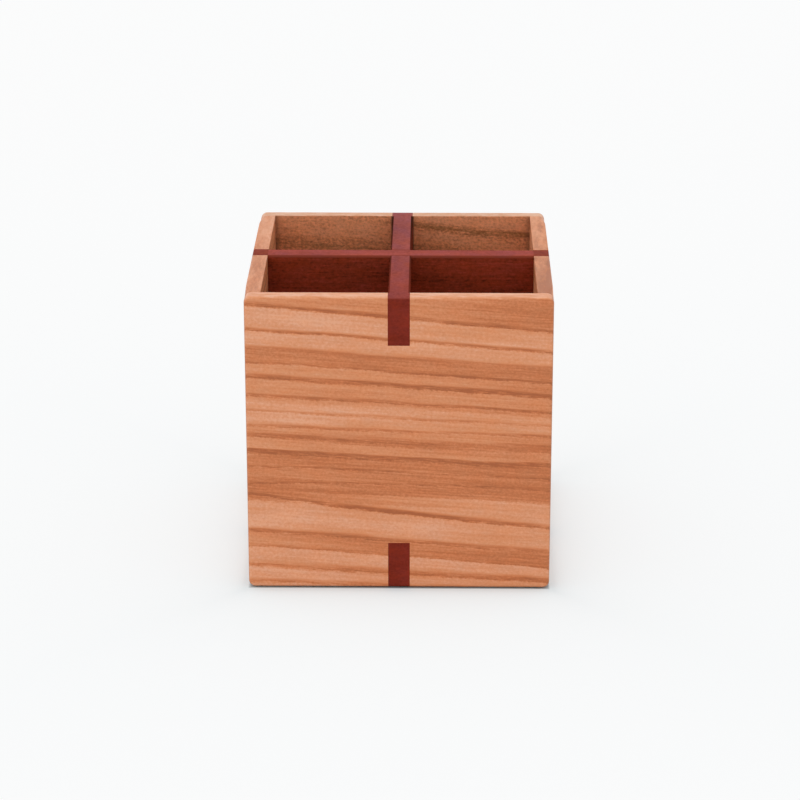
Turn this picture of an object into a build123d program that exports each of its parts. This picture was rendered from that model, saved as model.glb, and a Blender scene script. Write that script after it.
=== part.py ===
from build123d import *
import os

# Square pen holder: four walls around a cross of two halved dividers, with a floor panel in each compartment.
# The origin is under the middle of the foot, with the front face towards -Y and the rim at the top.

# Outside of the box
width = 100.0
depth = 100.0
height = 101.3

# Board thicknesses
wall_thickness = 5.2
divider_thickness = 7.1
floor_thickness = 5.0

# Ears of the dividers, which pass through the walls at the rim and at the foot
rim_ear_height = 16.4
foot_ear_height = 16.0

# Floor panels, let into grooves in the walls and the dividers
floor_lift = 3.0
groove_depth = 2.0

# Fits
slot_clearance = 0.05
groove_clearance = 0.1

# Edges sanded round: the corners seen from the front, and the edges around the front and back faces
corner_round = 2.2
face_round = 1.2

# Edges around the mouths of the compartments, on the walls and on the dividers
wall_ease = 0.2
divider_ease = 0.5

# Sizes that follow from those above
slot_width = divider_thickness + 2 * slot_clearance
side_wall_length = depth - 2 * wall_thickness
shoulder_height = height - rim_ear_height - foot_ear_height
shoulder_middle = foot_ear_height + shoulder_height / 2
lap_height = height / 2
bay_width = (width - divider_thickness) / 2 - wall_thickness
bay_depth = (depth - divider_thickness) / 2 - wall_thickness
bay_x = (divider_thickness + bay_width) / 2
bay_y = (divider_thickness + bay_depth) / 2
groove_height = floor_thickness + groove_clearance

# The four compartments, by the corner that each one is in
bays = {
    "front_left": Pos(-bay_x, -bay_y, 0),
    "front_right": Pos(bay_x, -bay_y, 0),
    "back_left": Pos(-bay_x, bay_y, 0),
    "back_right": Pos(bay_x, bay_y, 0),
}


def standing_box(length_x, length_y, length_z, bottom=0.0):
    return Pos(0, 0, bottom + length_z / 2) * Box(length_x, length_y, length_z)


def upright(outline, thickness):
    # An outline drawn as seen from the front, centred, made a solid that stands on the foot.
    return extrude(Pos(0, 0, height / 2) * Rot(90, 0, 0) * outline, thickness / 2, both=True)


def outside_form():
    # The whole box as one rounded block, which every board that shows outside is cut to.
    block = upright(RectangleRounded(width, height, corner_round), depth)
    ends = block.faces().sort_by(Axis.Y)
    return fillet(ends[0].edges() + ends[-1].edges(), face_round)


def floor_panel():
    # A panel fills its groove but for the clearance at its edges, and lies on the groove's lower face.
    tongue = groove_depth - groove_clearance
    return standing_box(bay_width + 2 * tongue, bay_depth + 2 * tongue, floor_thickness, floor_lift)


def floor_groove():
    return standing_box(bay_width + 2 * groove_depth, bay_depth + 2 * groove_depth, groove_height, floor_lift)


def mouth_bevel(ease):
    # A bay's outline at the bottom of the bevel, wider by the bevel all round at the rim.
    outline = Pos(0, 0, height - ease) * Rectangle(bay_width, bay_depth)
    return extrude(outline, ease, taper=-45)


def finish_board(board, ease):
    # Rounds a board's outside edges, ploughs its floor grooves and eases its edges around the compartments.
    board = board & outside_form()
    for place in bays.values():
        board -= place * floor_groove()
        board -= place * mouth_bevel(ease)
    return board


def slot_pair(length_x, length_y):
    # The upper slot, open at the rim, and the lower one, open at the foot.
    upper = standing_box(length_x, length_y, rim_ear_height, height - rim_ear_height)
    lower = standing_box(length_x, length_y, foot_ear_height)
    return upper + lower


def wall(length_x, length_y, place, slots):
    # A straight board, slotted for the ears.
    board = place * (standing_box(length_x, length_y, height) - slots)
    return finish_board(board, wall_ease)


def divider(span, lap_bottom, turn):
    # A full-height board, notched at both ends so that its ears reach the outside of the walls.
    outline = Rectangle(span, height)
    for end in (-1, 1):
        notch_x = end * (span - wall_thickness) / 2
        outline -= Pos(notch_x, shoulder_middle - height / 2) * Rectangle(wall_thickness, shoulder_height)
    board = upright(outline, divider_thickness)
    board -= standing_box(slot_width, divider_thickness, lap_height, lap_bottom)
    return finish_board(Rot(0, 0, turn) * board, divider_ease)


# Front and back walls run the full width, and the side walls butt between them.
long_wall_y = (depth - wall_thickness) / 2
side_wall_x = (width - wall_thickness) / 2
long_wall_slots = slot_pair(slot_width, wall_thickness)
side_wall_slots = slot_pair(wall_thickness, slot_width)

# The crosswise divider is lapped from below, and the lengthwise one from above.
pieces = {
    "front_wall": wall(width, wall_thickness, Pos(0, -long_wall_y, 0), long_wall_slots),
    "back_wall": wall(width, wall_thickness, Pos(0, long_wall_y, 0), long_wall_slots),
    "left_wall": wall(wall_thickness, side_wall_length, Pos(-side_wall_x, 0, 0), side_wall_slots),
    "right_wall": wall(wall_thickness, side_wall_length, Pos(side_wall_x, 0, 0), side_wall_slots),
    "crosswise_divider": divider(width, 0.0, 0),
    "lengthwise_divider": divider(depth, lap_height, 90),
}
for corner, place in bays.items():
    pieces["floor_" + corner] = place * floor_panel()

os.makedirs("parts", exist_ok=True)
for node, piece in pieces.items():
    export_step(piece, f"parts/{node}.step")
    print(f"{node}: {len(piece.solids())} solid, {piece.volume / 1000:.2f} cm3")
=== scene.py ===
import math
import random

import bmesh
import bpy
from mathutils import Euler, Matrix, Vector


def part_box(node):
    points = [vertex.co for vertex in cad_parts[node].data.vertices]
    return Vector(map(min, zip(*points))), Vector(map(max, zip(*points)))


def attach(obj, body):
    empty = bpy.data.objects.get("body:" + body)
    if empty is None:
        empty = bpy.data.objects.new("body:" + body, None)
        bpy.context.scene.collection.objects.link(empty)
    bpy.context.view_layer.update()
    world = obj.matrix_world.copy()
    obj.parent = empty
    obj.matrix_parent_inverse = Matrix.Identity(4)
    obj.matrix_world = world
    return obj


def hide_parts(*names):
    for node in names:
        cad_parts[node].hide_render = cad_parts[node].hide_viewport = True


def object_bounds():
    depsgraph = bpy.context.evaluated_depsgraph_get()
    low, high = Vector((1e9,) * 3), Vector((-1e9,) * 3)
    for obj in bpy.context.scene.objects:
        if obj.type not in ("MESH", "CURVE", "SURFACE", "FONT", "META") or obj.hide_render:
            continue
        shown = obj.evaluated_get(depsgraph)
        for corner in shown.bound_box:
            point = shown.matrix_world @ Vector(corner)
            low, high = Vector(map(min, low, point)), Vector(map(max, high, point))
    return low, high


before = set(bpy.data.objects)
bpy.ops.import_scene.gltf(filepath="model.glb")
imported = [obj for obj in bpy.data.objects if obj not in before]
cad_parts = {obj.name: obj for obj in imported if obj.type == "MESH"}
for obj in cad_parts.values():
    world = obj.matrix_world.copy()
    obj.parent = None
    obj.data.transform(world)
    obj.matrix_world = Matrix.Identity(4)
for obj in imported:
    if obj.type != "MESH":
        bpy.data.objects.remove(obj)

mm = 0.001
nearly = 1e-6  # metres
flat = 0.9999  # share of a normal along one axis, from which a face counts as flat
cadLow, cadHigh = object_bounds()
boxWidth, boxDepth, boxHeight = cadHigh - cadLow
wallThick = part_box("front_wall")[1].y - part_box("front_wall")[0].y
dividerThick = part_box("crosswise_divider")[1].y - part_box("crosswise_divider")[0].y
panelLow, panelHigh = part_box("floor_front_left")
print("frame: box of %.1f x %.1f x %.1f mm" % (boxWidth / mm, boxDepth / mm, boxHeight / mm))

joinery = {
    "rimEar": 16.4 * mm,       # ears of the dividers, at the rim
    "footEar": 16.0 * mm,      # and at the foot
    "slotFit": 0.01 * mm,      # each side of an ear or a lap, as the glue leaves it
    "grooveDepth": 2.0 * mm,   # for the floor panels
    "grooveFit": 0.1 * mm,
}
sanding = {
    "cornerRound": 2.2 * mm,   # corners of the box seen from the front
    "cornerSteps": 12,
    "sideShare": 0.25,         # what is left of that rounding along the side walls
    "sideFade": 10 * mm,       # from their ends to where it has gone down to that
    "sideSteps": 8,
    "faceRound": 1.2 * mm,     # edges around the front and back faces
    "faceSteps": 10,
    "wallEase": 0.2 * mm,      # inner edges at the mouths of the compartments
    "dividerEase": 0.8 * mm,
    "easeSteps": 5,
    "arris": 0.06 * mm,        # every other edge
    "arrisSteps": 2,
    "panelEase": 0.3 * mm,
    "sharp": 50,               # degrees, from which an edge counts as a corner
}
slotHalf = dividerThick / 2 + joinery["slotFit"]
grooveLow = panelLow.z
grooveHigh = panelHigh.z + joinery["grooveFit"]
rimSlot = boxHeight - joinery["rimEar"]


# board meshes

def cutSheet(length, xCuts, zCuts):  # upright sheet on y = 0, cut into cells
    bm = bmesh.new()
    bmesh.ops.create_grid(bm, x_segments=1, y_segments=1, size=0.5)
    upright = Matrix.Rotation(math.radians(90), 4, "X") @ Matrix.Diagonal((length, boxHeight, 1, 1))
    bmesh.ops.transform(bm, matrix=Matrix.Translation((0, 0, boxHeight / 2)) @ upright, verts=bm.verts)
    for axis, cuts in ((0, xCuts), (2, zCuts)):
        for cut in cuts:
            place = Vector((0, 0, 0))
            place[axis] = cut
            normal = Vector((0, 0, 0))
            normal[axis] = 1
            everything = bm.verts[:] + bm.edges[:] + bm.faces[:]
            bmesh.ops.bisect_plane(bm, geom=everything, plane_co=place, plane_no=normal)
    return bm


def inside(face, areas):  # areas are (low x, high x, low z, high z)
    middle = face.calc_center_median()
    return any(a[0] < middle.x < a[1] and a[2] < middle.z < a[3] for a in areas)


def dropCells(bm, areas):
    bmesh.ops.delete(bm, geom=[f for f in bm.faces if inside(f, areas)], context="FACES")


def thicken(bm, faces, step):  # extrudes faces along y and gives back the new ones
    made = bmesh.ops.extrude_face_region(bm, geom=faces)["geom"]
    verts = [g for g in made if isinstance(g, bmesh.types.BMVert)]
    bmesh.ops.translate(bm, vec=(0, step, 0), verts=verts)
    return [g for g in made if isinstance(g, bmesh.types.BMFace)]


def buildOn(bm, faces, step):  # adds a layer to a solid, whose covered faces go
    thicken(bm, faces, step)
    bmesh.ops.delete(bm, geom=faces, context="FACES")


def roundEdges(bm, edges, size, steps):
    bmesh.ops.bevel(bm, geom=edges, offset=size, offset_type="OFFSET", affect="EDGES", segments=steps,
                    profile=0.5, material=-1, clamp_overlap=False, loop_slide=True)


def cornerEdges(bm):  # edges that stand out, not the inner ones of grooves
    outer = [e for e in bm.edges if len(e.link_faces) == 2 and e.is_convex]
    return [e for e in outer if e.calc_face_angle() > math.radians(sanding["sharp"])]


def lies(edge, axis, *levels):  # whether the whole edge is at one of the levels
    return any(all(abs(v.co[axis] - level) < nearly for v in edge.verts) for level in levels)


def aroundSlot(edge):
    middle = (edge.verts[0].co + edge.verts[1].co) / 2
    level = edge.verts[0].co.z == edge.verts[1].co.z
    return abs(middle.x) < slotHalf + nearly and (not level or 0 < middle.z < boxHeight)


def easeOff(bm, length):  # thins the rounding of a side wall's outer edges away from its ends
    for vert in bm.verts:
        level = 0 if vert.co.z < boxHeight / 2 else boxHeight
        if max(vert.co.y, abs(vert.co.z - level)) < sanding["cornerRound"] + nearly:
            near = max(0, 1 - (length / 2 - abs(vert.co.x)) / sanding["sideFade"])
            smooth = near ** 2 * (3 - 2 * near)
            share = sanding["sideShare"] + (1 - sanding["sideShare"]) * smooth
            vert.co.y *= share
            vert.co.z = level + (vert.co.z - level) * share


def easeMouth(bm, sides, low, high, size):  # top edges on the given sides, from low to high off the middle
    edges = []
    for edge in cornerEdges(bm):
        offMiddle = abs(edge.verts[0].co.x + edge.verts[1].co.x) / 2
        if lies(edge, 2, boxHeight) and lies(edge, 1, *sides) and low < offMiddle < high:
            edges.append(edge)
    roundEdges(bm, edges, size, sanding["easeSteps"])


def finishBoard(bm, place):  # takes the sharpness off what is left, then stands the board where it belongs
    roundEdges(bm, cornerEdges(bm), sanding["arris"], sanding["arrisSteps"])
    bmesh.ops.transform(bm, matrix=place, verts=bm.verts)
    bmesh.ops.recalc_face_normals(bm, faces=bm.faces[:])
    return bm


def wallMesh(length, reach, turn, butted):  # built facing -y, then turned to its side of the box
    bay = length / 2 - (0 if butted else wallThick)
    grooveEnd = bay + joinery["grooveDepth"]
    slots = [(-slotHalf, slotHalf, 0, joinery["footEar"]), (-slotHalf, slotHalf, rimSlot, boxHeight)]
    grooves = [(-grooveEnd, grooveEnd, grooveLow, grooveHigh)]
    xCuts = [-slotHalf, slotHalf]
    if butted:
        gap = sanding["sideFade"] / sanding["sideSteps"]
        fade = [length / 2 - gap * (step + 1) for step in range(sanding["sideSteps"])]
        xCuts += [side * x for side in (-1, 1) for x in fade]
    else:
        xCuts += [-bay, bay, -grooveEnd, grooveEnd]
    bm = cutSheet(length, xCuts, [grooveLow, grooveHigh, joinery["footEar"], rimSlot])
    dropCells(bm, slots)
    core = thicken(bm, bm.faces[:], wallThick - joinery["grooveDepth"])
    buildOn(bm, [f for f in core if not inside(f, grooves)], joinery["grooveDepth"])
    bmesh.ops.recalc_face_normals(bm, faces=bm.faces[:])
    level = [e for e in cornerEdges(bm) if lies(e, 2, 0, boxHeight)]
    if butted:
        roundEdges(bm, [e for e in level if lies(e, 1, 0)], sanding["cornerRound"], sanding["cornerSteps"])
        easeOff(bm, length)
    else:
        ends = [e for e in level if lies(e, 0, -length / 2, length / 2)]
        roundEdges(bm, ends, sanding["cornerRound"], sanding["cornerSteps"])
        around = [e for e in cornerEdges(bm) if lies(e, 1, 0) and not aroundSlot(e)]
        roundEdges(bm, around, sanding["faceRound"], sanding["faceSteps"])
    easeMouth(bm, [wallThick], slotHalf, bay, sanding["wallEase"])
    turned = Matrix.Rotation(math.radians(turn), 4, "Z")
    return finishBoard(bm, turned @ Matrix.Translation((0, -reach, 0)))


def dividerMesh(length, turn, lapLow, lapHigh, earRound, earSteps):  # built along x, centred on y = 0
    bay = length / 2 - wallThick
    half = dividerThick / 2
    grooveStart = half - joinery["grooveDepth"]
    grooveEnd = bay + joinery["grooveDepth"]
    notches = [(-length, -bay, joinery["footEar"], rimSlot), (bay, length, joinery["footEar"], rimSlot)]
    laps = [(-slotHalf, slotHalf, lapLow, lapHigh)]
    grooves = [(-grooveEnd, -grooveStart, grooveLow, grooveHigh),
               (grooveStart, grooveEnd, grooveLow, grooveHigh)]
    xCuts = [side * x for side in (-1, 1) for x in (grooveStart, slotHalf, bay, grooveEnd)]
    bm = cutSheet(length, xCuts, [grooveLow, grooveHigh, joinery["footEar"], boxHeight / 2, rimSlot])
    dropCells(bm, notches + laps)
    bmesh.ops.translate(bm, vec=(0, -grooveStart, 0), verts=bm.verts)
    near = bm.faces[:]
    far = thicken(bm, near, 2 * grooveStart)
    buildOn(bm, [f for f in far if not inside(f, grooves)], joinery["grooveDepth"])
    buildOn(bm, [f for f in near if not inside(f, grooves)], -joinery["grooveDepth"])
    bmesh.ops.recalc_face_normals(bm, faces=bm.faces[:])
    level = [e for e in cornerEdges(bm) if lies(e, 2, 0, boxHeight)]
    roundEdges(bm, [e for e in level if lies(e, 0, -length / 2, length / 2)], earRound, earSteps)
    easeMouth(bm, [-half, half], slotHalf, bay, sanding["dividerEase"])
    return finishBoard(bm, Matrix.Rotation(math.radians(turn), 4, "Z"))


def panelMesh(node):
    low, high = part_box(node)
    bm = bmesh.new()
    bmesh.ops.create_cube(bm, size=1)
    place = Matrix.Translation((low + high) / 2) @ Matrix.Diagonal((*(high - low), 1))
    bmesh.ops.transform(bm, matrix=place, verts=bm.verts)
    roundEdges(bm, bm.edges[:], sanding["panelEase"], sanding["arrisSteps"])
    return bm


def addPiece(name, bm, node, material):
    mesh = bpy.data.meshes.new(name)
    bm.to_mesh(mesh)
    bm.free()
    mesh.materials.append(material)
    rounded = [max(abs(part) for part in face.normal) < flat for face in mesh.polygons]
    mesh.polygons.foreach_set("use_smooth", rounded)  # flat faces stay flat
    piece = bpy.data.objects.new(name, mesh)
    bpy.context.scene.collection.objects.link(piece)
    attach(piece, "root")
    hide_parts(node)


# shader helpers

def plug(tree, socket, value):
    if isinstance(value, bpy.types.NodeSocket):
        tree.links.new(value, socket)
    else:
        socket.default_value = value


def put(tree, kind, inputs, **settings):  # a node with its settings and its sockets filled
    made = tree.nodes.new(kind)
    for name, value in settings.items():
        setattr(made, name, value)
    for name, value in inputs.items():
        plug(tree, made.inputs[name], value)
    return made


def calc(tree, operation, *values, clamp=False):
    inputs = dict(enumerate(values))
    return put(tree, "ShaderNodeMath", inputs, operation=operation, use_clamp=clamp).outputs[0]


def remap(tree, value, low, high, toLow, toHigh, kind="LINEAR"):
    inputs = {"Value": value, "From Min": low, "From Max": high, "To Min": toLow, "To Max": toHigh}
    return put(tree, "ShaderNodeMapRange", inputs, interpolation_type=kind).outputs["Result"]


def split(tree, vector):
    return put(tree, "ShaderNodeSeparateXYZ", {"Vector": vector}).outputs


def mixColour(tree, factor, first, second, blend="MIX"):
    sockets = {0: factor, 6: first, 7: second}
    return put(tree, "ShaderNodeMix", sockets, data_type="RGBA", blend_type=blend).outputs[2]


def addUp(tree, value, terms):  # value plus each term times its weight
    for term, weight in terms:
        value = calc(tree, "MULTIPLY_ADD", term, weight, value)
    return value


def weigh(tree, value, grain, weights):  # the same with the outputs of the fibres
    return addUp(tree, value, [(grain[word], weight) for word, weight in weights.items()])


def noise(tree, place, size, seed, detail=2.0, roughness=0.5):  # size of a patch along x, y and z, in mm
    stretch = put(tree, "ShaderNodeMapping", {"Vector": place, "Scale": [1 / s for s in size]}).outputs[0]
    inputs = {"Vector": stretch, "W": seed, "Scale": 1.0, "Detail": detail, "Roughness": roughness}
    return put(tree, "ShaderNodeTexNoise", inputs, noise_dimensions="4D").outputs[0]


def colourRamp(tree, value, stops):
    ramp = put(tree, "ShaderNodeValToRGB", {"Fac": value})
    points = ramp.color_ramp.elements
    while len(points) < len(stops):
        points.new(0.5)
    for point, (position, colour) in zip(points, stops):
        point.position = position
        point.color = (*colour, 1)
    return ramp.outputs["Color"]


def newGroup(name, inputs, outputs):
    tree = bpy.data.node_groups.new(name, "ShaderNodeTree")
    for direction, sockets in (("INPUT", inputs), ("OUTPUT", outputs)):
        for word, kind in sockets.items():
            tree.interface.new_socket(word, in_out=direction, socket_type="NodeSocket" + kind)
    return tree, tree.nodes.new("NodeGroupInput").outputs, tree.nodes.new("NodeGroupOutput").inputs


def useGroup(tree, group, inputs):
    return put(tree, "ShaderNodeGroup", inputs, node_tree=group).outputs


# growth line: a dark line across a board, at three heights along it, with a fade above and below
lineInputs = ("Left", "Middle", "Right", "Core", "Above", "Below", "Depth", "Lean")


def makeGrowthLine():
    inputs = {word: "Float" for word in ("Along", "Height", *lineInputs)}
    tree, given, result = newGroup("growthLine", inputs, {"Shade": "Float"})
    along = given["Along"]
    slope = calc(tree, "MULTIPLY", calc(tree, "SUBTRACT", given["Right"], given["Left"]), 0.5)
    ends = calc(tree, "MULTIPLY", calc(tree, "ADD", given["Left"], given["Right"]), 0.5)
    bow = calc(tree, "SUBTRACT", ends, given["Middle"])
    bent = calc(tree, "MULTIPLY_ADD", bow, along, slope)
    level = calc(tree, "MULTIPLY_ADD", bent, along, given["Middle"])
    off = calc(tree, "SUBTRACT", given["Height"], level)
    start = calc(tree, "MULTIPLY", given["Below"], -1.0)
    end = calc(tree, "ADD", given["Core"], given["Above"])
    rise = remap(tree, off, start, 0.0, 0.0, 1.0, "SMOOTHSTEP")
    fall = remap(tree, off, given["Core"], end, 1.0, 0.0, "SMOOTHSTEP")
    body = calc(tree, "MULTIPLY", rise, fall)
    halo = calc(tree, "MULTIPLY_ADD", body, 0.5, 0.5)
    body = calc(tree, "MULTIPLY", body, halo)   # thin, with a faint halo
    lean = calc(tree, "MULTIPLY_ADD", given["Lean"], along, 1.0)
    depth = calc(tree, "MULTIPLY", given["Depth"], lean)
    plug(tree, result["Shade"], calc(tree, "MULTIPLY", body, depth))
    return tree


# fibres: how the wood varies around 0, with its grain along x of the place given in mm
def makeFibres():
    sizes = {                               # mm along x, y and z, then detail and roughness
        "Cloud": (40, 12, 6, 2.0, 0.5),
        "Streak": (45, 4, 0.9, 3.0, 0.65),
        "Dashes": (5, 1.2, 0.5, 2.0, 0.6),
        "Mottle": (1.0, 1.0, 0.8, 2.0, 0.7),
        "Hue": (8, 5, 3, 2.0, 0.6),
    }
    pores = {"size": (2.4, 0.3, 0.28), "detail": 1.0, "start": 0.58, "full": 0.72}
    outputs = {word: "Float" for word in (*sizes, "Pores")}
    tree, given, result = newGroup("fibres", {"Place": "Vector", "Seed": "Float"}, outputs)
    place, seed = given["Place"], given["Seed"]
    for word, (x, y, z, detail, roughness) in sizes.items():
        patches = noise(tree, place, (x, y, z), seed, detail, roughness)
        plug(tree, result[word], calc(tree, "SUBTRACT", patches, 0.5))
    dots = noise(tree, place, pores["size"], seed, pores["detail"])
    plug(tree, result["Pores"], remap(tree, dots, pores["start"], pores["full"], 0.0, 1.0))
    return tree


growthLine = makeGrowthLine()
fibres = makeFibres()


def newWood(name):
    material = bpy.data.materials.new(name)
    material.use_nodes = True
    return material, material.node_tree


masks = {                 # share of the normal, upwards or along the grain, where a mask starts and is full
    "tops": (0.35, 0.9),
    "ends": (0.6, 0.95),
}


# place in the board's own frame in mm, x along the grain and z across it,
# and masks of the tops and of the end grain
def boardPlace(tree, turn, reach, tip):
    where = tree.nodes.new("ShaderNodeTexCoord").outputs
    turned = (math.radians(tip), 0, math.radians(-turn))
    inputs = {"Vector": where["Object"], "Scale": (1 / mm,) * 3, "Rotation": turned,
              "Location": (0, reach / mm, 0)}
    place = put(tree, "ShaderNodeMapping", inputs).outputs[0]
    facing = put(tree, "ShaderNodeMapping", {"Vector": where["Normal"], "Rotation": turned}).outputs[0]
    endways = calc(tree, "ABSOLUTE", split(tree, facing)["X"])
    tops = remap(tree, split(tree, where["Normal"])["Z"], *masks["tops"], 0.0, 1.0, "SMOOTHSTEP")
    ends = remap(tree, endways, *masks["ends"], 0.0, 1.0, "SMOOTHSTEP")
    return place, tops, ends


satin = {
    "relief": {"Dashes": 1.0, "Mottle": 0.6, "Pores": -0.4},
    "reliefDepth": 0.1 * mm,
    "reliefStrength": 0.1,
    "roughness": 0.45,
    "roughSpread": {"Streak": 0.2},
    "hueReach": 0.2,      # either side of 0, where the cast is all warm or all cool
}


def finishWood(tree, colour, grain, look):
    shader = tree.nodes["Principled BSDF"]
    coolness = remap(tree, grain["Hue"], -satin["hueReach"], satin["hueReach"], 0.0, 1.0)
    cast = mixColour(tree, coolness, (*look["warm"], 1), (*look["cool"], 1))
    plug(tree, shader.inputs["Base Color"], mixColour(tree, 1.0, colour, cast, "MULTIPLY"))
    plug(tree, shader.inputs["Roughness"], weigh(tree, satin["roughness"], grain, satin["roughSpread"]))
    shader.inputs["Specular IOR Level"].default_value = look["specular"]
    relief = weigh(tree, 0.0, grain, satin["relief"])
    inputs = {"Height": relief, "Strength": satin["reliefStrength"], "Distance": satin["reliefDepth"]}
    plug(tree, shader.inputs["Normal"], put(tree, "ShaderNodeBump", inputs).outputs[0])


# pale wood

paleLook = {
    "shades": [                         # from light early wood to the darkest line
        (0.0, (0.868, 0.395, 0.220)),
        (0.114, (0.818, 0.330, 0.165)),
        (0.257, (0.770, 0.282, 0.115)),
        (0.4, (0.722, 0.240, 0.089)),
        (0.543, (0.655, 0.198, 0.0625)),
        (0.686, (0.577, 0.160, 0.043)),
        (0.9, (0.495, 0.129, 0.029)),
        (1.0, (0.432, 0.105, 0.021)),
    ],
    "darkest": 1.4,                     # shade at the last of them
    "endGrain": (0.50, 0.165, 0.062),
    "endShare": 0.7,                    # how much of that shows
    "warm": (1.03, 0.99, 0.93),
    "cool": (0.97, 1.01, 1.07),
    "inside": (0.88, 1.3, 2.0),         # cast of the dark grain on the inner faces
    "dull": (0.35, 1.2),                # shades where that cast starts and is full
    "innerEdge": (1.0, 0.3),            # mm short of the inner face, where its look starts and is full
    "corner": (0.10, 0.05, 0.025),      # painted shade, darkening the inner corners
    "shadeBesideDivider": (0.1, 0.8, 0.8),   # mm off, where it starts to thin and ends, and how much there is
    "shadeBesideWall": (0.1, 2.2, 0.4),
    "specular": 0.55,
    "ringTilt": 0.9,                    # how far lines climb for each mm of thickness
    "wander": 1.4,                      # mm that lines stray
    "wanderSize": (18, 30, 12),
    "wanderSeed": 3,
    "broadCore": 2,                     # mm, from which a line counts as a band
    "ragged": {"Dashes": 0.8, "Mottle": 0.7},
    "plain": {"Cloud": 0.8, "Streak": 0.75, "Dashes": 0.22, "Mottle": 1.0, "Pores": 0.05},
    "thinLines": {"Dashes": 2.2, "Streak": 1.0, "Cloud": 1.2},   # how they come and go along the grain
    "lineStrength": 1.1,
    "faintest": 0.2,
    "linesOnRim": 0.3,                  # what sanding and the painted sheen of the tops leave of them
    "bands": {"Dashes": 0.7, "Streak": 1.2},
    "roughSawn": {"Mottle": 0.9, "Cloud": 0.8},                  # the inner faces
    "speckle": {"Mottle": -1.0, "Dashes": -0.5},
    "lightestInside": 0.25,
    "sandedRim": {"Dashes": 1.0, "Streak": 0.5, "Mottle": -0.5},
}


def paleWood(name, board):
    material, tree = newWood(name)
    place, rim, ends = boardPlace(tree, board["turn"], board["reach"], board["tip"])
    x, y, z = split(tree, place)
    slant = calc(tree, "MULTIPLY_ADD", x, board["fall"] / 100, z)   # fibres follow the lines' slope
    fibrePlace = put(tree, "ShaderNodeCombineXYZ", {"X": x, "Y": y, "Z": slant}).outputs[0]
    grain = useGroup(tree, fibres, {"Place": fibrePlace, "Seed": board["seed"]})
    along = calc(tree, "MULTIPLY", x, mm * 2 / boxWidth)            # -1 to 1 from end to end
    stray = noise(tree, place, paleLook["wanderSize"], board["seed"] + paleLook["wanderSeed"], detail=1.0)
    height = addUp(tree, z, [(y, paleLook["ringTilt"]), (stray, paleLook["wander"])])
    height = calc(tree, "SUBTRACT", height, paleLook["wander"] / 2)
    height = weigh(tree, height, grain, paleLook["ragged"])

    thin, broad = 0.0, 0.0
    for line in board["lines"]:
        inputs = dict(zip(lineInputs, line))
        shade = useGroup(tree, growthLine, {"Along": along, "Height": height, **inputs})["Shade"]
        if inputs["Core"] > paleLook["broadCore"]:
            broad = calc(tree, "MAXIMUM", shade, broad)
        else:
            thin = calc(tree, "MAXIMUM", shade, thin)
    broken = weigh(tree, paleLook["lineStrength"], grain, paleLook["thinLines"])
    broken = calc(tree, "MAXIMUM", broken, paleLook["faintest"])
    uneven = weigh(tree, 1.0, grain, paleLook["bands"])
    thin = calc(tree, "MULTIPLY", thin, broken)
    broad = calc(tree, "MULTIPLY", broad, uneven)
    shade = calc(tree, "MAXIMUM", thin, broad)
    sandingAndSheen = remap(tree, rim, 0.0, 1.0, 1.0, paleLook["linesOnRim"])
    shade = calc(tree, "MULTIPLY", shade, sandingAndSheen)

    innerStart, innerFull = (wallThick / mm - short for short in paleLook["innerEdge"])
    inner = remap(tree, y, innerStart, innerFull, 0.0, 1.0)
    inner = calc(tree, "SUBTRACT", inner, rim, clamp=True)          # the rim keeps its own look
    tone = calc(tree, "MULTIPLY_ADD", along, board["tone"][1], board["tone"][0])
    rimTone = calc(tree, "MULTIPLY_ADD", along, board["rim"][1], board["rim"][0])
    shade = calc(tree, "ADD", weigh(tree, shade, grain, paleLook["plain"]), tone)
    shade = calc(tree, "MULTIPLY_ADD", rim, weigh(tree, rimTone, grain, paleLook["sandedRim"]), shade)
    shade = calc(tree, "MULTIPLY_ADD", inner, weigh(tree, 0.0, grain, paleLook["roughSawn"]), shade)
    shade = calc(tree, "MAXIMUM", shade, calc(tree, "MULTIPLY", inner, paleLook["lightestInside"]))
    position = calc(tree, "DIVIDE", shade, paleLook["darkest"], clamp=True)
    colour = colourRamp(tree, position, paleLook["shades"])
    # the rims are paler: partly sanded wood, partly painted sheen
    colour = mixColour(tree, rim, colour, (*board["rimSheenCast"], 1), "MULTIPLY")

    dull = calc(tree, "MULTIPLY", inner, remap(tree, shade, *paleLook["dull"], 0.0, 1.0))
    colour = mixColour(tree, dull, colour, (*paleLook["inside"], 1), "MULTIPLY")
    speckle = calc(tree, "MULTIPLY_ADD", inner, weigh(tree, 0.0, grain, paleLook["speckle"]), 1.0)
    colour = put(tree, "ShaderNodeVectorMath", {0: colour, "Scale": speckle}, operation="SCALE").outputs[0]
    # painted shade in the inner corners, beside the dividers and at the ends of the bays
    offMiddle = calc(tree, "ABSOLUTE", x)
    toDivider = calc(tree, "SUBTRACT", offMiddle, slotHalf / mm)
    toWall = calc(tree, "SUBTRACT", (boxWidth / 2 - wallThick) / mm, offMiddle)
    shadeBesideDivider = remap(tree, toDivider, *paleLook["shadeBesideDivider"], 0.0, "SMOOTHSTEP")
    shadeBesideWall = remap(tree, toWall, *paleLook["shadeBesideWall"], 0.0, "SMOOTHSTEP")
    cornerShade = calc(tree, "MAXIMUM", shadeBesideDivider, shadeBesideWall)
    cornerShade = calc(tree, "MULTIPLY", cornerShade, inner)
    colour = mixColour(tree, cornerShade, colour, (*paleLook["corner"], 1))
    ends = calc(tree, "MULTIPLY", ends, paleLook["endShare"])
    colour = mixColour(tree, ends, colour, (*paleLook["endGrain"], 1))
    finishWood(tree, colour, grain, paleLook)
    return material


# red wood

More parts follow.
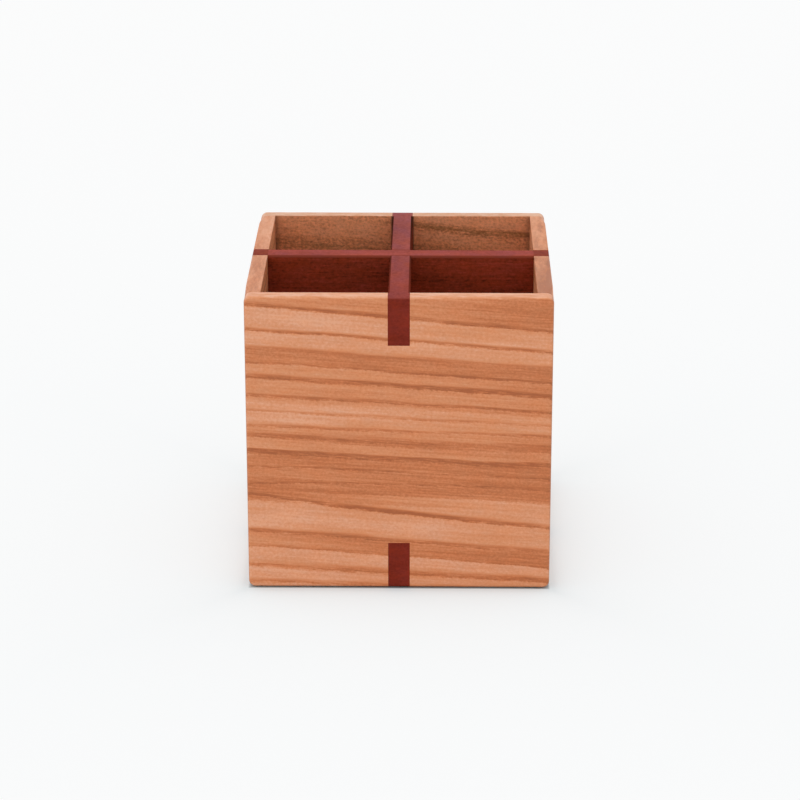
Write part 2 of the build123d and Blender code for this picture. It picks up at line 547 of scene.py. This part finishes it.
redLook = {
    "shades": [
        (0.0, (0.330, 0.050, 0.028)),
        (0.4, (0.255, 0.039, 0.0160)),
        (0.7, (0.208, 0.033, 0.0130)),
        (1.0, (0.130, 0.021, 0.0090)),
    ],
    "middle": 0.5,                      # of the shades, around which the grain varies
    "endGrain": (0.226, 0.029, 0.017),
    "edgeShadeStart": 0.65,                  # painted shade on the rounded edges of the tops, mm in from the face
    "edgeShadeFull": 0.4,
    "warm": (1.06, 1.0, 0.85),
    "cool": (0.94, 1.0, 1.15),
    "specular": 0.0,
    "plain": {"Cloud": 1.2, "Streak": 1.2, "Dashes": 1.4, "Mottle": 2.0, "Pores": 0.15},
    "flecks": {"Mottle": 0.8, "Cloud": 0.8, "Streak": 0.4},      # on the tops and the ends of the ears
}


def redWood(name, board):
    material, tree = newWood(name)
    place, rim, ends = boardPlace(tree, board["turn"], 0, 0)
    grain = useGroup(tree, fibres, {"Place": place, "Seed": board["seed"]})
    shade = weigh(tree, redLook["middle"], grain, redLook["plain"])
    colour = colourRamp(tree, shade, redLook["shades"])
    x, y, z = split(tree, place)
    half = board["length"] / mm / 2
    along = remap(tree, x, -half, half, 0.0, 1.0)
    # the tops are lightened with painted sheen, more toward the back end of the lengthwise divider
    top = mixColour(tree, along, *((*end, 1) for end in board["top"]))
    within = calc(tree, "LESS_THAN", calc(tree, "ABSOLUTE", x), half - wallThick / mm)
    overWall = calc(tree, "SUBTRACT", 1.0, within)
    top = mixColour(tree, overWall, top, (*board["earCast"], 1), "MULTIPLY")
    flecks = weigh(tree, 1.0, grain, redLook["flecks"])
    for where, plain in ((ends, redLook["endGrain"]), (rim, top)):
        flecked = put(tree, "ShaderNodeVectorMath", {0: plain, "Scale": flecks}, operation="SCALE")
        colour = mixColour(tree, where, colour, flecked.outputs[0])
    # painted shade on the rounded top edges between the walls, darkest toward the back on the lengthwise
    # divider
    inward = calc(tree, "SUBTRACT", dividerThick / mm / 2, calc(tree, "ABSOLUTE", y))
    edge = remap(tree, inward, redLook["edgeShadeFull"], redLook["edgeShadeStart"], 1.0, 0.0, "SMOOTHSTEP")
    high = calc(tree, "GREATER_THAN", z, (boxHeight - sanding["dividerEase"]) / mm)
    edge = calc(tree, "MULTIPLY", calc(tree, "MULTIPLY", edge, high), within)
    edgeShadeColour = mixColour(tree, along, *((*end, 1) for end in board["edge"]))
    colour = mixColour(tree, edge, colour, edgeShadeColour)
    finishWood(tree, colour, grain, redLook)
    return material


# growth lines of the front: heights in mm above the foot at the left end, the middle and the right end,
# then core, fade above, fade below, depth and how much the depth grows to the right
frontLines = [
    (98.9, 94.2, 89.6, 0.3, 2.0, 0.9, 0.92, 0.0),
    (99.5, 95.0, 90.4, 12, 3.0, 2.0, 0.40, 0.4),
    (90.4, 86.8, 82.6, 0.2, 1.2, 0.8, 0.86, 0.0),
    (79.3, 75.7, 72.3, 5.2, 1.2, 0.8, 0.60, 0.0),
    (79.3, 75.7, 72.3, 0.2, 1.6, 0.8, 0.84, 0.13),
    (74.4, 71.0, 67.7, 4.5, 1.0, 1.5, 0.28, 0.4),
    (74.2, 70.8, 67.5, 0.7, 1.5, 1.3, 0.98, 0.2),
    (67.0, 64.0, 61.0, 6.5, 1.0, 2.0, 0.30, 0.2),
    (68.0, 65.0, 62.1, 0.4, 1.2, 1.1, 0.74, 0.0),
    (62.8, 60.0, 57.3, 0.2, 0.8, 0.8, 0.38, 0.0),
    (57.5, 55.3, 53.5, 0.3, 1.0, 1.2, 0.55, 0.0),
    (49.5, 46.5, 44.0, 8.5, 3.0, 1.0, 0.28, 0.3),
    (53.8, 50.0, 48.0, 2.4, 1.5, 1.0, 0.56, 0.35),
    (54.0, 50.8, 48.2, 0.6, 2.4, 1.1, 0.68, 0.0),
    (33.5, 32.8, 30.2, 13.0, 1.2, 1.0, 0.62, 0.0),
    (48.5, 45.6, 43.4, 0.8, 0.8, 2.2, 1.00, 0.0),
    (43.0, 41.4, 38.8, 0.3, 1.0, 1.0, 0.82, 0.0),
    (37.0, 37.0, 34.8, 0.3, 1.0, 1.0, 0.82, 0.0),
    (31.5, 29.5, 28.0, 2.6, 1.2, 1.2, 0.32, -1.4),
    (33.3, 26.7, 21.5, 0.4, 1.6, 1.0, 0.95, -0.12),
    (15.0, 11.5, 7.2, 5.0, 1.4, 0.6, 0.48, 0.35),
    (15.0, 11.5, 7.2, 0.2, 1.0, 0.6, 0.68, 0.2),
    (20.4, 16.6, 12.6, 0.3, 1.8, 1.0, 0.76, 0.0),
    (8.0, 5.0, 2.1, 0.4, 2.5, 1.0, 0.66, 0.15),
    (2.3, 0.5, -2.0, 0.4, 1.5, 1.0, 0.50, 0.0),
]

# rings of the boards that the photograph doesn't show, with the least and the most of each value
rings = {
    "wallSpan": (-12, 118),     # mm, past foot and rim because the rings lean
    "floorSpan": (-55, 60),
    "spacing": (3.0, 6.5),
    "tilt": (-2, 2),
    "bow": (-1.2, 1.2),
    "line": [(0.2, 0.6), (1.0, 2.4), (0.8, 1.2), (0.5, 0.95), (-0.2, 0.2)],   # from core to lean
    "bandCore": (3, 9),
    "bandBelow": 0.8,
    "band": [(1.0, 3.0), (0.28, 0.55), (-0.3, 0.3)],    # fade above, depth and lean
}


def randomLines(seed, fall, low, high):
    dice = random.Random(seed)
    lines = []
    level = low
    while level < high:
        tilt = dice.uniform(*rings["tilt"]) - fall
        heights = (level - tilt / 2, level + dice.uniform(*rings["bow"]), level + tilt / 2)
        band = dice.choice([0, 0, dice.uniform(*rings["bandCore"])])   # one ring in three has one
        if band:
            above, depth, lean = (dice.uniform(*limits) for limits in rings["band"])
            lines.append((*heights, band, above, rings["bandBelow"], depth, lean))
        lines.append((*heights, *(dice.uniform(*limits) for limits in rings["line"])))
        level += band + dice.uniform(*rings["spacing"])
    return lines


backRings = randomLines(9, -8.5, *rings["wallSpan"])
rightRings = randomLines(4, 5.0, *rings["wallSpan"])
leftRings = randomLines(15, -4.0, *rings["wallSpan"])
seenInside = (82, 112)   # mm, heights on the back wall that show in the box, with two lines of their own
backLines = [line for line in backRings if not seenInside[0] < line[1] < seenInside[1]] + [
    (98.1, 103.3, 112.6, 0.8, 1.9, 2.4, 0.63, -0.4),
    (85.0, 92.0, 94.5, 2.2, 4.2, 4.8, 0.68, 0.2),
]
# tone and rim are shades in the middle and what they gain to the right, seen from outside;
# the rim cast pales the rims, and the front wall's rim is set lighter: partly sanded wood, partly painted
# sheen
walls = {
    "front_wall": {"turn": 0, "lines": frontLines, "fall": 7.0, "seed": 11.0,
                   "tone": (0.21, 0.06), "rim": (-0.12, -0.06), "rimSheenCast": (1.03, 1.11, 1.16)},
    "right_wall": {"turn": 90, "lines": rightRings, "fall": 5.0, "seed": 23.0,
                   "tone": (0.16, 0.0), "rim": (0.74, -0.54), "rimSheenCast": (1.02, 1.14, 1.20)},
    "back_wall": {"turn": 180, "lines": backLines, "fall": -8.5, "seed": 37.0,
                  "tone": (0.15, 0.0), "rim": (0.0, 0.0), "rimSheenCast": (0.93, 1.14, 1.28)},
    "left_wall": {"turn": -90, "lines": leftRings, "fall": -4.0, "seed": 51.0,
                  "tone": (0.12, 0.0), "rim": (0.44, 0.18), "rimSheenCast": (1.0, 1.10, 1.19)},
}
for node, board in walls.items():
    butted = node in ("left_wall", "right_wall")   # between the other two
    length = boxDepth - 2 * wallThick if butted else boxWidth
    board["reach"] = (boxWidth if butted else boxDepth) / 2
    board["tip"] = 0
    bm = wallMesh(length, board["reach"], board["turn"], butted)
    addPiece(node + "_board", bm, node, paleWood(node + "Wood", board))
print("walls: %d boards" % len(walls))

# the pairs give the colours of the top, lightened with painted sheen, and of its rounded edges,
# darkened with painted shade, at the left or front end and at the other; earCast tints the top over the
# walls
dividers = {
    "crosswise": {"length": boxWidth, "turn": 0, "lap": (0, boxHeight / 2), "seed": 61.0,
                  "ears": (sanding["cornerRound"] * sanding["sideShare"], sanding["cornerSteps"]),
                  "earCast": (0.75, 0.76, 0.66),
                  "top": ((0.385, 0.087, 0.070), (0.385, 0.087, 0.070)),
                  "edge": ((0.25, 0.05, 0.03), (0.25, 0.05, 0.03))},
    "lengthwise": {"length": boxDepth, "turn": 90, "lap": (boxHeight / 2, boxHeight), "seed": 73.0,
                   "ears": (sanding["faceRound"], sanding["faceSteps"]), "earCast": (1, 1, 1),
                   "top": ((0.325, 0.068, 0.055), (0.338, 0.100, 0.094)),
                   "edge": ((0.22, 0.04, 0.025), (0.03, 0.012, 0.007))},
}
for name, board in dividers.items():
    bm = dividerMesh(board["length"], board["turn"], *board["lap"], *board["ears"])
    addPiece(name + "_board", bm, name + "_divider", redWood(name + "Wood", board))
print("dividers: halved together")

floorBoard = {"turn": 0, "reach": 0, "tip": 90, "lines": randomLines(21, 3.0, *rings["floorSpan"]),
              "fall": 3.0, "seed": 83.0, "tone": (-0.1, 0.0), "rim": (0.0, 0.0), "rimSheenCast": (1.0, 1.0, 1.0)}
floorWood = paleWood("floorWood", floorBoard)
for corner in ("front_left", "front_right", "back_left", "back_right"):
    node = "floor_" + corner
    addPiece(node + "_panel", panelMesh(node), node, floorWood)
print("floor: 4 panels")

view = {
    "place": Vector((12.52, -929.05, 380.69)) * mm,
    "down": 19.677,       # degrees
    "aside": 0.791,
    "roll": -0.042,
    "lens": 129.13,
    "sensor": 36,
}
camera = bpy.data.objects.new("camera", bpy.data.cameras.new("camera"))
bpy.context.scene.collection.objects.link(camera)
camera.data.lens = view["lens"]
camera.data.sensor_width = view["sensor"]
aim = Euler((math.radians(90 - view["down"]), 0, math.radians(view["aside"]))).to_matrix()
aim = aim @ Euler((0, 0, math.radians(view["roll"]))).to_matrix()
camera.matrix_world = Matrix.Translation(view["place"]) @ aim.to_4x4()
bpy.context.scene.camera = camera

# light tent: even light all round, over white paper that keeps a soft shadow
tent = {
    "light": 0.92,
    "leftward": 0.16,           # how much brighter the left side is
    "white": 0.965,             # what the camera sees of the background
    # paper is cool, a painted offset for the warm light that the wood bounces into the shadow
    "paper": (0.80, 0.905, 0.94),
    "paperGlow": 0.975,
    "shadow": 0.87,             # share of the real shadow that the camera sees at 1 mm from the box
    "shadowFade": -0.46,
    "shadowNear": 1.8,          # mm, closer than which the share grows no more
    "paintedFootShadow": 0.58,          # painted contact shadow: share of the paper's colour left below the rounded edges
    "paintedFootShadowEnds": (-0.9, 0.5),    # mm out from the box, where that is least and where it is over
    "fullShadow": (-0.1, 0.7),       # where the camera sees all of the shadow and only its share
    "paperRough": 0.9,
    "floorSize": 3.0,
    "floorDrop": 0.35 * mm,     # the foot isn't quite flat
}


def seenDirectly(tree):  # 1 for camera, glossy and transmission rays
    path = tree.nodes.new("ShaderNodeLightPath").outputs
    seen = calc(tree, "ADD", path["Is Camera Ray"], path["Is Glossy Ray"])
    return calc(tree, "ADD", seen, path["Is Transmission Ray"], clamp=True)


def lightTent():
    world = bpy.data.worlds.new("lightTent")
    world.use_nodes = True
    tree = world.node_tree
    background = tree.nodes["Background"]
    across = split(tree, tree.nodes.new("ShaderNodeTexCoord").outputs["Generated"])["X"]
    light = calc(tree, "MULTIPLY_ADD", across, -tent["leftward"], tent["light"])
    seen = seenDirectly(tree)
    unseen = calc(tree, "SUBTRACT", 1.0, seen)
    strength = calc(tree, "MULTIPLY_ADD", light, unseen, calc(tree, "MULTIPLY", seen, tent["white"]))
    plug(tree, background.inputs["Strength"], strength)
    background.inputs["Color"].default_value = (1, 1, 1, 1)
    return world


def floorPaper():
    material = bpy.data.materials.new("floorPaper")
    material.use_nodes = True
    tree = material.node_tree
    paper = tree.nodes["Principled BSDF"]
    paper.inputs["Specular IOR Level"].default_value = 0.0
    paper.inputs["Roughness"].default_value = tent["paperRough"]
    where = split(tree, tree.nodes.new("ShaderNodeTexCoord").outputs["Object"])
    outX = calc(tree, "SUBTRACT", calc(tree, "ABSOLUTE", where["X"]), boxWidth / 2)
    outY = calc(tree, "SUBTRACT", calc(tree, "ABSOLUTE", where["Y"]), boxDepth / 2)
    away = calc(tree, "DIVIDE", calc(tree, "MAXIMUM", outX, outY), mm)   # from the box, below 0 under it
    # painted contact shadow: the paper's colour darkens below the rounded edges
    footShadowFactor = remap(tree, away, *tent["paintedFootShadowEnds"], tent["paintedFootShadow"], 1.0)
    lit = mixColour(tree, footShadowFactor, (0, 0, 0, 1), (*tent["paper"], 1))
    plug(tree, paper.inputs["Base Color"], lit)
    reach = calc(tree, "POWER", calc(tree, "MAXIMUM", away, tent["shadowNear"]), tent["shadowFade"])
    under = remap(tree, away, *tent["fullShadow"], 1.0, 0.0)
    shadow = calc(tree, "MAXIMUM", calc(tree, "MULTIPLY", reach, tent["shadow"]), under, clamp=True)
    glow = put(tree, "ShaderNodeEmission", {"Color": (1, 1, 1, 1), "Strength": tent["paperGlow"]})
    share = calc(tree, "MULTIPLY", seenDirectly(tree), calc(tree, "SUBTRACT", 1.0, shadow))
    mixed = put(tree, "ShaderNodeMixShader", {0: share, 1: paper.outputs[0], 2: glow.outputs[0]})
    tree.links.new(mixed.outputs[0], tree.nodes["Material Output"].inputs["Surface"])
    return material


bpy.context.scene.world = lightTent()
bm = bmesh.new()
bmesh.ops.create_grid(bm, x_segments=1, y_segments=1, size=tent["floorSize"])
bmesh.ops.translate(bm, vec=(0, 0, -tent["floorDrop"]), verts=bm.verts)
mesh = bpy.data.meshes.new("floor")
bm.to_mesh(mesh)
bm.free()
mesh.materials.append(floorPaper())
floor = bpy.data.objects.new("floor", mesh)
bpy.context.scene.collection.objects.link(floor)
print("stage: light tent and floor")

bpy.context.scene.view_settings.view_transform = "Standard"
